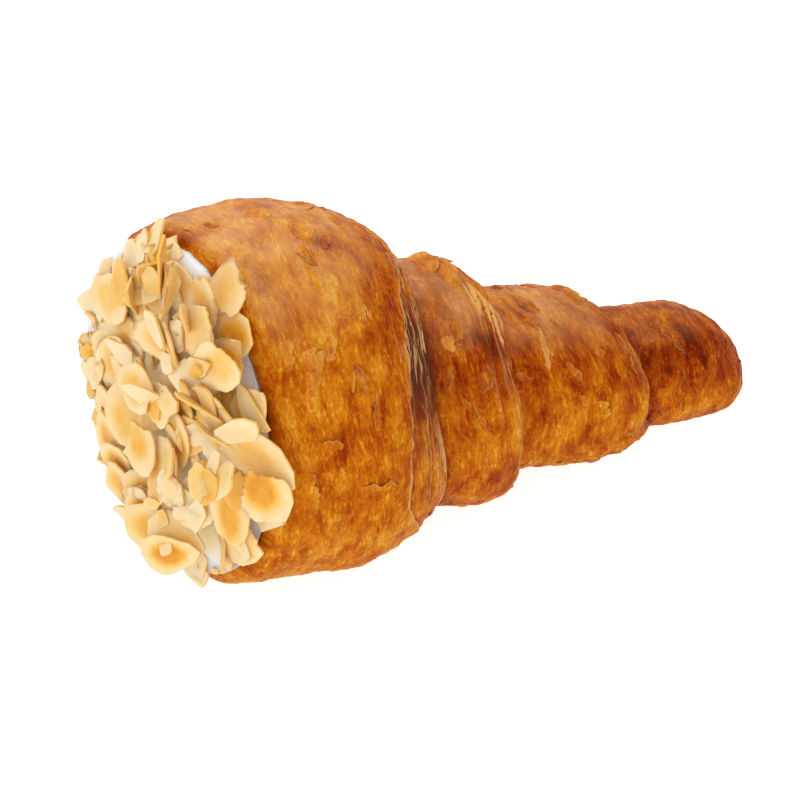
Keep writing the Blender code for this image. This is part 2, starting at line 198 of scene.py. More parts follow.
# Places where the dough's layers show as threads beside a lip: (turn, distance from the lip, reach
# in turns, reach across, how strongly).
THREADED = [
    (0.42, 5.0 * MM, 0.06, 6.5 * MM, 0.9),
    (0.50, 6.5 * MM, 0.06, 8.5 * MM, 1.0),
    (0.60, 6.0 * MM, 0.05, 8.0 * MM, 0.35),
    (1.43, 4.5 * MM, 0.05, 5.5 * MM, 1.0),
    (1.52, 2.5 * MM, 0.06, 3.0 * MM, 0.7),
    (2.50, 1.5 * MM, 0.10, 2.0 * MM, 0.5),
]

# Torn leaves of dough that stand off the crust: (turn, share across the strip, length, width and
# lift of the free edge in millimetres, how much browner than its place, degrees from the winding's
# direction).
TORN_LEAVES = [
    (0.391, 0.385, 8.0, 3.2, 0.9, -0.15, 20),
    (0.402, 0.455, 6.0, 2.2, 0.6, -0.10, -35),
    (0.345, 0.300, 9.0, 3.5, 0.4, -0.10, 10),
    (0.330, 0.520, 10.0, 3.0, 0.4, -0.10, -15),
    (0.375, 0.560, 7.0, 2.0, 0.4, -0.10, 5),
    (0.440, 0.330, 9.0, 1.8, 0.4, -0.15, 4),
    (0.452, 0.400, 8.0, 1.5, 0.4, -0.15, -6),
    (0.470, 0.470, 7.0, 1.6, 0.4, -0.15, 8),
    (0.491, 0.110, 9.0, 3.2, 0.4, -0.15, 0),
    (0.507, 0.210, 6.0, 4.5, 0.4, -0.15, 30),
    (0.500, 0.300, 5.5, 3.0, 0.4, -0.15, -20),
    (0.530, 0.400, 7.0, 2.4, 0.4, -0.10, 12),
    (0.581, 0.240, 6.0, 2.6, 0.4, -0.15, 75),
    (0.627, 0.470, 12.0, 3.0, 0.5, -0.10, 82),
    (0.610, 0.130, 8.0, 3.0, 0.5, -0.10, 20),
    (1.345, 0.340, 11.0, 5.0, 1.2, -0.20, 10),
    (1.372, 0.470, 13.0, 4.0, 1.0, -0.24, 5),
    (1.330, 0.600, 9.0, 3.5, 0.8, -0.20, -8),
    (1.424, 0.630, 11.0, 1.1, 0.4, -0.35, 0),
    (1.442, 0.710, 13.0, 0.8, 0.4, -0.31, 3),
    (1.460, 0.770, 12.0, 1.0, 0.4, -0.35, 4),
    (1.448, 0.850, 10.0, 0.8, 0.4, -0.31, -3),
    (1.492, 0.810, 9.0, 2.0, 0.4, -0.20, 0),
    (1.469, 0.360, 6.0, 3.0, 0.3, -0.20, 10),
    (1.491, 0.270, 4.0, 3.0, 0.3, -0.28, 45),
    (2.366, 0.670, 9.0, 4.0, 0.8, -0.05, 5),
    (2.487, 0.280, 11.0, 1.5, 0.3, -0.30, -6),
    (2.538, 0.110, 5.0, 1.6, 0.3, -0.15, 80),
    (2.605, 0.550, 5.0, 3.0, 0.3, -0.20, 15),
    (3.570, 0.270, 6.0, 1.6, 0.1, 0.08, 15),
]
SMALL_LEAVES = 190
LEAF_THICKNESS = 0.22 * MM

# The cream's swell over the rim, and the almond and crumbs on it.
CREAM_SWELL = 1.9 * MM
SLICE_THICKNESS = 0.60 * MM
SLICE_ROUNDING = 0.10 * MM
CHIPS = 260
CHIP_SIZES = (3.0 * MM, 4.0 * MM, 5.0 * MM, 6.0 * MM, 6.8 * MM)
CHIP_THICKNESS = 0.55 * MM
CRUMBS = 10

# Half a crumb's length, width and height, from smallest to largest, in millimetres.
CRUMB_SIZES = ((0.25, 0.75), (0.25, 0.55), (0.15, 0.3))

# Where chips lie thickest: (degrees round the mouth from its top, spread in degrees).
CHIP_CLUSTERS = ((150, 45), (15, 40), (-3, 16), (60, 20), (-90, 60))

# The studio. Each lamp has a name, a place, a size and a power.
CAMERA_AZIMUTH = math.radians(-24)
CAMERA_ELEVATION = math.radians(40)
CAMERA_DISTANCE = 0.6
CAMERA_LENS = 124.2
LAMPS = [
    ("lamp_above", (-0.27, -0.52, 0.55), 0.45, 1.6),
    ("lamp_behind", (0.10, 0.60, 0.55), 0.60, 2.9),
    ("lamp_left", (-0.75, -0.25, 0.28), 0.50, 0.3),
]


def eased(stations, place):
    """The value between two stations, level at each of them, for one place or an array of them."""
    starts, sizes = np.array(stations).T
    place = np.clip(place, starts[0], starts[-1])
    index = np.clip(np.searchsorted(starts, place, side="left") - 1, 0, len(starts) - 2)
    part = (place - starts[index]) / (starts[index + 1] - starts[index])
    return sizes[index] + (sizes[index + 1] - sizes[index]) * part * part * (3 - 2 * part)


def smooth(part):
    """0 below 0, 1 above 1, and an S between."""
    part = np.clip(part, 0, 1)
    return part * part * (3 - 2 * part)


def hump(off, reach):
    """1 at 0, falling away on both sides over this reach."""
    return np.exp(-((off / reach) ** 2))


def noise_at(*axes):
    """Noise at places given axis by axis, each as one number or as many."""
    return np.array([noise.noise(Vector(place)) for place in np.broadcast(*axes)])


TILT = math.atan2(
    eased(CREST_RADIUS, 0.5) - eased(CREST_RADIUS, 3.5), CREST_TIP_PLACE - CREST_ONE_PLACE
)
ALONG = np.array((math.cos(TILT), 0, -math.sin(TILT)))
UPWARD = np.array((math.sin(TILT), 0, math.cos(TILT)))
SIDEWAYS = np.array((0.0, -1.0, 0.0))
AXIS_HEIGHT = (
    CREST_ONE_PLACE * math.sin(TILT) + eased(CREST_RADIUS, 0.5) * math.cos(TILT) - FLAT_DEPTH
)


def in_horn(distance, radius, angle):
    """Points this far from the mouth and from the horn's line, turned from the top."""
    mouth_share = np.clip(1 - distance / MOUTH_TURN_REACH, 0, 1)
    tip_share = np.maximum(distance - TIP_SLANT_START, 0) / (HORN_LENGTH - TIP_SLANT_START)
    lean = np.sin(angle) * math.tan(MOUTH_TURN) * mouth_share
    lean = lean - np.cos(angle) * math.tan(MOUTH_DROOP) * mouth_share
    lean = lean - np.cos(angle) * math.tan(TIP_SLANT) * tip_share
    height = AXIS_HEIGHT + eased(CENTRE_SAG, distance)
    far = np.multiply.outer(distance + lean * radius, ALONG)
    out = np.multiply.outer(np.cos(angle) * radius, UPWARD)
    beside = np.multiply.outer(np.sin(angle) * radius, SIDEWAYS)
    return far + out + beside + np.multiply.outer(height, (0, 0, 1.0))


def around(turn):
    """The angle from the top at this many turns."""
    return START_ANGLE + turn * math.tau


def arc(part, power):
    """The height of a rounded shoulder this far along it: full at 0, none at 1."""
    return np.maximum(1 - np.maximum(part, 0) ** power, 0) ** (1 / power)


def tip_radius(distance):
    """The radius of the rounded end of the horn."""
    part = (distance - TIP_CREST_AT) / (HORN_LENGTH - TIP_CREST_AT)
    return eased(CREST_RADIUS, TURNS) * arc(part, TIP_POWER)


def seam_place(turn):
    """Where a turn's outer edge meets the next turn, as (distance, radius)."""
    if turn < 0:
        return 0.0, MOUTH_RADIUS
    distance = eased(LIP_REACH, turn) - eased(LIP_OVERHANG, turn)
    radius = eased(SEAM_RADIUS, turn)
    if distance > TIP_CREST_AT:
        radius = min(radius, tip_radius(distance))
    return distance, radius


def section_line(turn):
    """The strip's section here as fine lists of distance and radius, and where its nose starts."""
    foot_at, foot_radius = seam_place(turn - 1)
    seam_at, seam_radius = seam_place(turn)
    lip_at = eased(LIP_REACH, turn)
    lip_radius = seam_radius + eased(LIP_NOSE, turn)
    crest_at = foot_at + (lip_at - foot_at) * eased(CREST_SHARE, turn)
    crest_radius = eased(CREST_RADIUS, turn)
    if turn > TIP_TURN:
        crest_at = max(TIP_CREST_AT, foot_at)
        crest_radius = tip_radius(crest_at)
    part = 1 - np.cos(np.linspace(0, math.pi / 2, 60, endpoint=False))
    rise_at = foot_at + (crest_at - foot_at) * part
    rise = foot_radius + (crest_radius - foot_radius) * arc(1 - part, eased(RISE_POWER, turn))
    part = np.sin(np.linspace(0, math.pi / 2, 120))
    fall_at = crest_at + (lip_at - crest_at) * part
    fall = lip_radius + (crest_radius - lip_radius) * arc(part, eased(FALL_POWER, turn))
    if turn > TIP_TURN:
        fall = tip_radius(fall_at)
    part = np.linspace(0, 1, NOSE_COLUMNS + 1)[1:]
    nose_at = seam_at + (lip_at - seam_at) * np.sqrt(1 - part**2)
    nose = lip_radius + (seam_radius - lip_radius) * part
    return np.concatenate((rise_at, fall_at)), np.concatenate((rise, fall)), nose_at, nose


def across_strip(turn):
    """The section's points: (distance, radius, path from the foot, path to the lip) of each."""
    at, radius, nose_at, nose = section_line(turn)
    path = np.concatenate(([0], np.cumsum(np.hypot(np.diff(at), np.diff(radius)))))
    length = path[-1]
    zone = min(LIP_ZONE, 0.45 * length)
    stops = np.linspace(0, length - zone, BODY_COLUMNS, endpoint=False)
    stops = np.concatenate((stops, np.linspace(length - zone, length, LIP_COLUMNS + 1)))
    at = np.concatenate((np.interp(stops, path, at), nose_at))
    radius = np.concatenate((np.interp(stops, path, radius), nose))
    nose_steps = np.hypot(np.diff(at[-NOSE_COLUMNS - 1 :]), np.diff(radius[-NOSE_COLUMNS - 1 :]))
    stops = np.concatenate((stops, length + np.cumsum(nose_steps)))
    return at, radius, stops, length - stops


def noise_over(points, size, octaves=1):
    """Noise from about -1 to 1 at each point, in features this long and this wide on the horn."""
    scaled = points.reshape(-1, 3) @ np.array((ALONG, UPWARD, SIDEWAYS)).T / np.array(size)
    if octaves == 1:
        values = [noise.noise(Vector(place)) for place in scaled]
    else:
        values = [noise.fractal(Vector(place), 0.9, 2.1, octaves) for place in scaled]
    return np.array(values).reshape(points.shape[:-1])


def roughened(points, size, length):
    """The points moved a little, the way hand-made food is uneven."""
    flat = points.reshape(-1, 3)
    shifts = [
        noise.noise_vector(Vector(point) / length, noise_basis="PERLIN_ORIGINAL") for point in flat
    ]
    return (flat + np.array(shifts) * size).reshape(points.shape)


class Crust:
    """The wound strip as a grid of points, rows along the winding and columns across it."""

    def __init__(self):
        rows = TURNS * ROWS_PER_TURN + 1
        self.turn = np.arange(rows) / ROWS_PER_TURN
        sections = [across_strip(turn) for turn in self.turn]
        at, radius, foot, lip = (np.array(values) for values in zip(*sections))
        self.columns = at.shape[1]
        self.from_foot = foot
        self.from_lip = lip
        angle = np.repeat(around(self.turn)[:, None], self.columns, axis=1)
        smooth_points = in_horn(at, radius, angle)
        self.points = roughened(smooth_points, UNEVENNESS, UNEVEN_LENGTH)
        self.wound = np.cumsum(np.full(rows, math.tau / ROWS_PER_TURN) * radius.max(axis=1))
        self.normals = self.outward()
        self.give_relief()

    def outward(self):
        """The outward direction at each point."""
        down = np.gradient(self.points, axis=0)
        beside = np.gradient(self.points, axis=1)
        normals = np.cross(beside, down)
        lengths = np.linalg.norm(normals, axis=2, keepdims=True)
        normals = normals / np.maximum(lengths, 1e-12)
        centre = self.points[:ROWS_PER_TURN].mean(axis=(0, 1))
        outer = self.points[60, 30] - centre
        if normals[60, 30] @ outer < 0:
            normals = -normals
        return normals

    def give_relief(self):
        """Swells, blisters, flakes, threads and layer edges, none of them at the seams."""
        start = self.points
        swell = noise_over(start, (9 * MM, 15 * MM, 15 * MM))
        blister = np.abs(noise_over(start, (5.0 * MM, 7.0 * MM, 7.0 * MM), 2))
        fleck = noise_over(start, (2.0 * MM, 3.0 * MM, 3.0 * MM), 2)
        flakes = noise_over(start, (4.5 * MM, 9.0 * MM, 9.0 * MM), 3)
        torn = sum(smooth((flakes - level) / 0.06) for level in (-0.45, -0.15, 0.15, 0.45)) / 4
        self.torn = torn
        self.threads = self.threaded()
        relief = MM * (0.35 * swell + 0.35 * blister + 0.12 * fleck + 0.60 * (torn - 0.5))
        ripples = self.from_lip / THREAD_SPACING + 0.8 * fleck
        relief += THREAD_DEPTH * self.threads * np.sin(ripples * math.tau)
        self.edge = np.zeros(relief.shape)
        self.shade = np.zeros(relief.shape)
        for number, (place, wander, height) in enumerate(LAYER_EDGES):
            self.add_layer_edge(relief, number, place, wander, height)
        self.cut_short_layer(relief)
        at_lip = smooth((self.turn - 0.56) / 0.06) * smooth((2.95 - self.turn) / 0.1)
        lip_line = hump(self.from_lip, 0.40 * MM) * (self.from_lip > -0.1 * MM)
        self.edge += 1.3 * at_lip[:, None] * lip_line
        foot_room = smooth(self.from_foot / (1.8 * MM))
        lip_room = smooth(self.from_lip / (0.6 * MM))
        at_tip = smooth((self.turn - 3.0) / 0.25)[:, None]
        tip_room = smooth(self.from_lip / (5.0 * MM))
        room = foot_room * (lip_room * (1 - at_tip) + tip_room * at_tip)
        self.points = start + self.normals * ((relief - SKIN_INSET) * room)[..., None]
        self.brown = self.toast()

    def apart(self, turn, reach, across, wide):
        """How far each point is from a turn and a place across, squared, counted in reaches."""
        return ((self.turn[:, None] - turn) / reach) ** 2 + (across / wide) ** 2

    def threaded(self):
        """How strongly the layers show as threads at each point."""
        strength = 0.25 * (1 - smooth((self.from_lip - 1.5 * MM) / (2.5 * MM)))
        strength = strength * smooth((2.95 - self.turn) / 0.1)[:, None]
        for turn, away, reach, wide, more in THREADED:
            apart = self.apart(turn, reach, self.from_lip - away, wide)
            strength = np.maximum(strength, more * np.exp(-(apart**2)))
        return strength * smooth((self.from_lip + 0.6 * MM) / (1.2 * MM))

    def add_layer_edge(self, relief, number, place, wander, height):
        """One thin layer that ends near the lip, with its pale edge and the shade before it."""
        line = noise_at(self.turn * 7.5, number * 7.1, 0)
        fine = noise_at(self.turn * 45, number * 3.3, 5)
        seen = noise_at(self.turn * 6.0, number * 5.7, 9)
        edge_at = (place + wander * line + 0.3 * MM * fine)[:, None]
        present = smooth(0.7 + 2.0 * seen)[:, None]
        present = present * smooth((3.0 - self.turn) / 0.2)[:, None]
        fewer = smooth((self.turn - 1.56) / 0.06) * (0.3, 0.5, 0.7, 0.9, 0.9)[number]
        present = present * (1 - fewer)[:, None]
        behind = self.from_lip - edge_at
        sheet = smooth(behind / (0.4 * MM) + 0.5) * (1 - smooth((behind - 0.5 * MM) / (3.5 * MM)))
        relief += height * sheet * present
        self.edge += present * hump(behind - 0.1 * MM, 0.26 * MM)
        self.shade += present * hump(behind + 0.5 * MM, 0.4 * MM)

    def cut_short_layer(self, relief):
        """The first turn's top layer, torn short of the lip, with the browner layer under it in
        painted shade.
        """
        wander = noise_at(self.turn * 60, 2.2, 7.7)
        short = np.where(self.turn < 0.9, eased(SHORT_LAYER, self.turn), 0)
        short = (short + np.where(short > 0.5 * MM, 0.35 * MM, 0) * wander)[:, None]
        cut = smooth((short - self.from_lip) / (0.5 * MM) + 0.5) * smooth(short / (1.2 * MM))
        relief -= SHORT_LAYER_STEP * cut
        at_front = hump(self.turn % 1 - DARK_BAND_TURN, DARK_BAND_REACH)[:, None]
        # The second turn's foot beside the first lip joins the dark band: painted shade in the
        # groove.
        foot = hump(self.from_foot, DARK_BAND_FOOT) * (np.floor(self.turn) == 1)[:, None]
        self.bared = at_front * np.maximum(cut, foot)
        at_edge = smooth(short / (1.0 * MM))
        self.edge += 1.3 * at_edge * hump(self.from_lip - short - 0.25 * MM, 0.3 * MM)
        self.shade += at_edge * hump(self.from_lip - short + 0.6 * MM, 0.6 * MM)

    def toast(self):
        """How brown the crust is painted at each point, from 0 for pale to 1 for dark, painted
        shade and light included.
        """
        share = self.from_foot / np.maximum(self.from_foot[:, -1:], 1e-9)
        brown = 0.12 * noise_over(self.points, (13 * MM, 18 * MM, 18 * MM), 2)
        brown += eased(BAKE, self.turn)[:, None]
        brown -= 0.12 * (self.torn - 0.5)
        for turn, across, reach, wide, more in BROWNED:
            brown += more * np.exp(-self.apart(turn, reach, share - across, wide))
        # Painted shade: darker at the foot of each turn, in the groove under the lip before it.
        groove_shade = np.exp(-self.from_foot / (2.0 * MM)) * smooth((self.turn[:, None] - 0.9) / 0.1)
        brown += 0.38 * groove_shade
        brown += 0.20 * self.shade
        # Painted light: faces turned downwards are painted paler, as if lit by the bright floor
        # below.
        under = smooth((-self.normals[..., 2] - 0.15) / 0.6)
        brown -= 0.14 * under
        # Browner dough and painted shade in the dark band.
        brown += 0.25 * self.bared
        return np.clip(brown, 0, 1)

    def wash_and_sheen_mask(self):
        """How much egg glaze the brush left, and where a sheen is painted: most on the upper side,
        none in the seams.
        """
        upper = smooth((self.normals[..., 2] - 0.70) / 0.27)
        patchy = 0.7 + 0.6 * noise_over(self.points, (8 * MM, 8 * MM, 8 * MM))
        gloss_and_sheen = upper * patchy * smooth(self.from_foot / (5 * MM)) * (1 - self.bared)
        return np.clip(gloss_and_sheen * (1 - 0.6 * smooth((self.turn - 2.9) / 0.2))[:, None], 0, 1)


def deselect_all():
    """Nothing is selected, so that an operator acts only on what is picked next."""
    bpy.ops.object.select_all(action="DESELECT")


def only(piece):
    """This piece alone is selected and active."""
    deselect_all()
    piece.select_set(True)
    bpy.context.view_layer.objects.active = piece


def apply_modifier(piece, kind, **settings):
    """One modifier, set and applied."""
    only(piece)
    modifier = piece.modifiers.new(kind.title(), kind)
    for name, value in settings.items():
        setattr(modifier, name, value)
    bpy.ops.object.modifier_apply(modifier=modifier.name)


def place_in_mesh(piece):
    """The piece's place goes into its mesh, and its object sits at the origin."""
    piece.data.transform(piece.matrix_world)
    piece.matrix_world = Matrix.Identity(4)


def paint_points(piece, name, values):
    """A number for each point of the mesh, which the material reads."""
    layer = piece.data.attributes.get(name) or piece.data.attributes.new(name, "FLOAT", "POINT")
    layer.data.foreach_set("value", np.asarray(values, np.float32).ravel())


def points_of(piece):
    """The mesh's points as an array."""
    places = np.empty(len(piece.data.vertices) * 3)
    piece.data.vertices.foreach_get("co", places)
    return places.reshape(-1, 3)


def set_points(piece, places):
    """Moves the mesh's points to these places."""
    piece.data.vertices.foreach_set("co", np.asarray(places, np.float32).ravel())
    piece.data.update()


def held_inside(places):
    """Points eased back inside the solids' box, and none below the floor."""
    low, high = np.array(cad_box[0]), np.array(cad_box[1])
    near_high = high - BOX_MARGIN
    over = np.maximum(places - near_high, 0)
    places = np.where(over > 0, high - BOX_MARGIN * np.exp(-over / BOX_MARGIN), places)
    near_low = low + BOX_MARGIN
    under = np.maximum(near_low - places, 0)
    eased_up = np.where(under > 0, low + BOX_MARGIN * np.exp(-under / BOX_MARGIN), places)
    return np.stack((eased_up[:, 0], eased_up[:, 1], np.maximum(places[:, 2], 0)), axis=1)


def wind_crust(crust):
    """The crust: a rolled-out grid of dough wound round the horn, lapped, rimmed and hollow."""
    deselect_all()
    rows = len(crust.turn)
    bpy.ops.mesh.primitive_grid_add(
        x_subdivisions=rows - 1, y_subdivisions=crust.columns - 1, size=1, calc_uvs=False
    )
    piece = bpy.context.object
    piece.name = "baked_crust"
    flat = points_of(piece)
    row = np.rint((flat[:, 0] + 0.5) * (rows - 1)).astype(int)
    column = np.rint((flat[:, 1] + 0.5) * (crust.columns - 1)).astype(int)
    set_points(piece, held_inside(crust.points[row, column] - np.array(BOX_MIDDLE)))
    painted = {"toast": crust.brown, "wash": crust.wash_and_sheen_mask(), "threads": crust.threads}
    painted |= {"bared": crust.bared, "edge": crust.edge, "from_lip": crust.from_lip / MM}
    for name, grid in painted.items():
        paint_points(piece, name, grid[row, column])
    paint_points(piece, "wound", crust.wound[row] / MM)
    paint_points(piece, "turn", crust.turn[row])
    bpy.ops.object.mode_set(mode="EDIT")
    bpy.ops.mesh.select_all(action="SELECT")
    bpy.ops.mesh.remove_doubles(threshold=MERGE_REACH)
    bpy.ops.mesh.dissolve_degenerate(threshold=0.002 * MM)
    bpy.ops.mesh.select_all(action="DESELECT")
    bpy.ops.mesh.select_mode(type="EDGE")
    bpy.ops.mesh.select_non_manifold(
        extend=False,
        use_wire=False,
        use_multi_face=False,
        use_non_contiguous=False,
        use_verts=False,
    )
    # Known fault: a stray tube with three sides also forms here, from the tip into the cavity.
    rings = [(-RIM_ROUND, MOUTH_RADIUS - WALL_AT_MOUTH / 2)] + CAVITY
    for distance, radius in rings:
        bpy.ops.mesh.extrude_region_move()
        shape = bmesh.from_edit_mesh(piece.data)
        turns = shape.verts.layers.float["turn"]
        for point in shape.verts:
            if point.select:
                place = in_horn(distance, radius, around(point[turns]))
                point.co = Vector(place) - BOX_MIDDLE
        bmesh.update_edit_mesh(piece.data)
    bpy.ops.mesh.merge(type="CENTER")
    bpy.ops.mesh.select_all(action="SELECT")
    bpy.ops.mesh.normals_make_consistent(inside=False)
    bpy.ops.object.mode_set(mode="OBJECT")
    piece.data.shade_smooth()
    return piece


def surface_at(crust, turn, share):
    """A place on the crust's skin and its outward direction, by turn and share across the strip."""
    row = np.clip(turn * ROWS_PER_TURN, 0, len(crust.turn) - 1.001)
    low = row.astype(int)
    lengths = crust.from_foot[low, -1]
    path = share * lengths
    places = np.empty((len(turn), 3))
    normals = np.empty((len(turn), 3))
    for index, (r, along) in enumerate(zip(low, path)):
        part = row[index] - r
        for into, grid in ((places, crust.points), (normals, crust.normals)):
            near = [
                [np.interp(along, crust.from_foot[k], grid[k, :, axis]) for axis in range(3)]
                for k in (r, r + 1)
            ]
            into[index] = np.array(near[0]) * (1 - part) + np.array(near[1]) * part
    normals /= np.linalg.norm(normals, axis=1, keepdims=True)
    return places, normals


def paint_crust_points(piece, **values):
    """The numbers that the crust's material reads, for a piece made of the same dough."""
    for name in ("toast", "wash", "threads", "bared", "edge", "from_lip", "wound"):
        paint_points(piece, name, np.zeros(len(piece.data.vertices)) + values.get(name, 0.0))


def lay_leaf(crust, blank, turn, share, length, width, lift, more, heading):
    """A thin pointed leaf of dough on the crust, with one edge free and lifted."""
    piece = copy_of(blank, "leaf")
    flat = points_of(piece)
    along, part = flat[:, 0] * 2, flat[:, 1] + 0.5
    seed = turn * 31 + share * 17
    wavy = noise_at(along * 2.3, seed, 1.5)
    torn = noise_at(along * 7.0, seed, 8.5)
    half = np.maximum(1 - along**2, 0) ** 0.6 * (1 + 0.8 * wavy + 0.5 * torn)
    far = along * length / 2
    beside = (part - 0.4) * width * half
    turned = math.radians(heading)
    row = min(int(turn * ROWS_PER_TURN), len(crust.turn) - 2)
    around_length = (crust.wound[row + 1] - crust.wound[row]) * ROWS_PER_TURN
    strip = crust.from_foot[row, -1]
    turns = turn + (far * math.cos(turned) - beside * math.sin(turned)) / around_length
    shares = share + (far * math.sin(turned) + beside * math.cos(turned)) / strip
    shares = np.clip(shares, 0.02, 0.985)
    places, normals = surface_at(crust, turns, shares)
    curl = noise_at(far / (2 * MM), beside / (2 * MM), seed)
    height = -0.14 * MM + (lift + 0.14 * MM) * part**1.6 * np.maximum(1 - along**2, 0) ** 0.4
    height = height + 0.12 * MM * curl * part
    set_points(piece, held_inside(places + normals * height[:, None] - np.array(BOX_MIDDLE)))
    column = int(np.argmin(np.abs(crust.from_foot[row] - share * strip)))
    local = float(crust.brown[row, column])
    paint_crust_points(
        piece,
        toast=np.clip(local + more + 0.10 * (1 - part), 0, 1),
        edge=np.maximum(0.35 * smooth((part - 0.75) / 0.25), 0.9 * smooth((-0.25 - more) / 0.1)),
        from_lip=(1 - shares) * strip / MM + 1.5,
        wound=(crust.wound[row] + (turns - turn) * around_length) / MM,
        # Painted sheen on the leaf's upper side, with a little real gloss.
        wash=0.2 * smooth((normals[:, 2] - 0.25) / 0.6),
    )
    return piece


def joined(pieces, name):
    """The pieces as one mesh."""
    only(pieces[0])
    for piece in pieces:
        piece.select_set(True)
    bpy.ops.object.join()
    whole = bpy.context.object
    whole.name = name
    return whole


def tear_layers(crust, dice):
    """All the torn leaves of the crust as one thin mesh."""
    deselect_all()
    bpy.ops.mesh.primitive_grid_add(x_subdivisions=11, y_subdivisions=4, size=1, calc_uvs=False)
    blank = bpy.context.object
    leaves = []
    for turn, across, *sizes, more, heading in TORN_LEAVES:
        sizes = [size * MM for size in sizes]
        leaves.append(lay_leaf(crust, blank, turn, across, *sizes, more, heading))
    for _ in range(SMALL_LEAVES):
        turn = dice.uniform(0.12, 3.0) if dice.random() < 0.95 else dice.uniform(3.0, 3.75)
        across = dice.uniform(0.06, 0.94)
        length = dice.uniform(2.5, 8.0) * MM
        width = min(dice.uniform(1.0, 2.8) * MM, 0.5 * length)
        lift = dice.uniform(0.12, 0.32) * MM
        heading = dice.gauss(0, 20) + dice.choice((0, 0, 0, 180))
        more = dice.uniform(-0.18, 0.08)
        row = int(turn * ROWS_PER_TURN)
        column = np.searchsorted(crust.from_foot[row], across * crust.from_foot[row, -1])
        if crust.bared[row, column] < 0.15:
            leaves.append(lay_leaf(crust, blank, turn, across, length, width, lift, more, heading))
    bpy.data.objects.remove(blank)
    piece = joined(leaves, "torn_layers")
    apply_modifier(piece, "SOLIDIFY", thickness=LEAF_THICKNESS, offset=0, use_even_offset=False)
    piece.data.shade_smooth()
    return piece


class Wire:
    """A socket in a material. Arithmetic on it adds the Math nodes that work it out."""

    def __init__(self, paint, socket):
        self.paint = paint
        self.socket = socket

    def __getitem__(self, name):
        """Another output of the same node."""
        return Wire(self.paint, self.socket.node.outputs[name])

    def _math(self, operation, *values):
        return self.paint.node("ShaderNodeMath", {"operation": operation}, *values)

    def __add__(self, other):
        return self._math("ADD", self, other)

    def __radd__(self, other):
        return self._math("ADD", other, self)

    def __sub__(self, other):
        return self._math("SUBTRACT", self, other)

    def __rsub__(self, other):
        return self._math("SUBTRACT", other, self)

    def __mul__(self, other):
        return self._math("MULTIPLY", self, other)

    def __rmul__(self, other):
        return self._math("MULTIPLY", other, self)

    def between(self, low, high):
        """0 up to low, 1 from high on, and smooth between."""
        settings = {"interpolation_type": "SMOOTHSTEP"}
        return self.paint.node("ShaderNodeMapRange", settings, self, low, high, 0.0, 1.0)

    def held(self):
        """The value kept from 0 to 1."""
        return self.paint.node("ShaderNodeClamp", {}, self, 0.0, 1.0)


class Paint:
    """A material, and the nodes that make its colour, gloss and fine relief."""

    def __init__(self, name):
        self.material = bpy.data.materials.new(name)
        self.material.use_nodes = True
        self.tree = self.material.node_tree
        self.shader = self.tree.nodes["Principled BSDF"]

    def node(self, kind, settings, *values, **named):
        """A node of this kind with its settings, then the values or wires of its sockets."""
        made = self.tree.nodes.new(kind)
        stops = settings.pop("stops", None)
        for name, value in settings.items():
            setattr(made, name, value)
        if stops:
            ramp = made.color_ramp
            while len(ramp.elements) < len(stops):
                ramp.elements.new(0.5)
            for element, (place, color) in zip(ramp.elements, stops):
                element.position = place
                element.color = (*color, 1)
        for socket, value in zip(made.inputs, values):
            self.feed(socket, value)
        for name, value in named.items():
            self.feed(made.inputs[name.replace("_", " ")], value)
        return Wire(self, made.outputs[0])

    def feed(self, socket, value):
        """Sets a socket to a value, or links it to a wire."""
        if isinstance(value, Wire):
            self.tree.links.new(value.socket, socket)
        else:
            socket.default_value = value

    def attribute(self, name):
        """A number that the mesh carries."""
        return self.node("ShaderNodeAttribute", {"attribute_name": name})["Fac"]

    def place(self):
        """The point's place on the object."""
        return self.node("ShaderNodeTexCoord", {})["Object"]

    def noise(self, place, size, detail, roughness, distortion=0.0):
        """Cloudy noise from 0 to 1, with features of one size or of a size for each axis."""
        sizes = size if isinstance(size, tuple) else (size,) * 3
        scale = tuple(1 / length for length in sizes)
        scaled = self.node("ShaderNodeMapping", {}, place, Scale=scale)
        sockets = {"Detail": detail, "Roughness": roughness, "Distortion": distortion}
        return self.node("ShaderNodeTexNoise", {}, Vector=scaled, Scale=1.0, **sockets)

    def ramp(self, factor, stops):
        """A colour from a scale of colours."""
        return self.node("ShaderNodeValToRGB", {"stops": stops}, factor)

    def mix(self, below, above, share):
        """Two colours mixed."""
        made = self.node("ShaderNodeMix", {"data_type": "RGBA"}, share).socket.node
        for socket, color in ((made.inputs[6], below), (made.inputs[7], above)):
            self.feed(socket, color if isinstance(color, Wire) else (*color, 1))
        return Wire(self, made.outputs[2])

    def bump(self, height, depth):
        """Fine relief this deep, in metres."""
        return self.node("ShaderNodeBump", {}, Strength=1.0, Distance=depth, Height=height)

    def finish(self, **sockets):
        """Sets or links the shader's own sockets."""
        for name, value in sockets.items():
            if isinstance(value, tuple):
                value = (*value, 1) if len(value) == 3 and "Radius" not in name else value
            self.feed(self.shader.inputs[name.replace("_", " ")], value)
        return self.material


